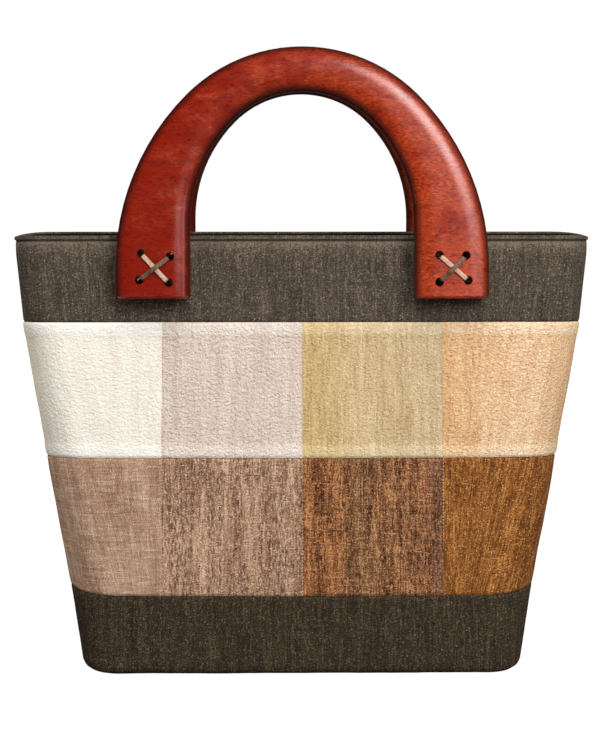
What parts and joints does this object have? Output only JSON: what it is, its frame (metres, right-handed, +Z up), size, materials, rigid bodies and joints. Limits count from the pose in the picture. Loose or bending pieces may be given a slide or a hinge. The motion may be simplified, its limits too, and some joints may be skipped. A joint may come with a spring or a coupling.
{
  "type": "patchwork handbag",
  "caption": "Open-topped handbag with a tapered, hollow cloth body pieced from patches between dark bands, and arched wooden handles laced to the rim band.",
  "frame": {"origin": "on the floor, under the middle of the bag", "axes": "+Z up, +X to the right along the bag's width, front faces -Y"},
  "size_m": [0.3322, 0.0908, 0.3571],
  "materials": {
    "band_cloth": "charcoal brown slubbed linen weave",
    "base_cloth": "dark brown slubbed linen weave",
    "cream_cloth": "cream crinkled crepe weave",
    "mushroom_cloth": "pale mushroom crinkled crepe weave",
    "khaki_cloth": "pale khaki crinkled crepe weave",
    "peach_cloth": "peach crinkled crepe weave",
    "taupe_cloth": "taupe plain weave",
    "bark_cloth": "mottled brown weave with dark flecks",
    "russet_cloth": "russet weave with many-coloured streaks",
    "ochre_cloth": "ochre brown weave with golden slubs",
    "handle_wood": "red-brown stained wood under satin lacquer",
    "pale_lace": "pale flat thong",
    "dark_lace": "olive brown flat thong"
  },
  "bodies": {
    "root": {"top_band_front": "band_cloth", "top_band_back": "band_cloth", "patch_front_cream": "cream_cloth", "patch_front_mushroom": "mushroom_cloth", "patch_front_khaki": "khaki_cloth", "patch_front_peach": "peach_cloth", "patch_front_taupe": "taupe_cloth", "patch_front_bark": "bark_cloth", "patch_front_russet": "russet_cloth", "patch_front_ochre": "ochre_cloth", "patch_back_cream": "cream_cloth", "patch_back_mushroom": "mushroom_cloth", "patch_back_khaki": "khaki_cloth", "patch_back_peach": "peach_cloth", "patch_back_taupe": "taupe_cloth", "patch_back_bark": "bark_cloth", "patch_back_russet": "russet_cloth", "patch_back_ochre": "ochre_cloth", "base_front": "base_cloth", "base_back": "base_cloth", "base_bottom": "base_cloth", "handle_front": "handle_wood", "handle_back": "handle_wood", "lace_front_left_under": "pale_lace", "lace_front_left_over": "dark_lace", "lace_front_right_under": "pale_lace", "lace_front_right_over": "dark_lace", "lace_back_left_under": "pale_lace", "lace_back_left_over": "dark_lace", "lace_back_right_under": "pale_lace", "lace_back_right_over": "dark_lace"}
  },
  "joints": []
}
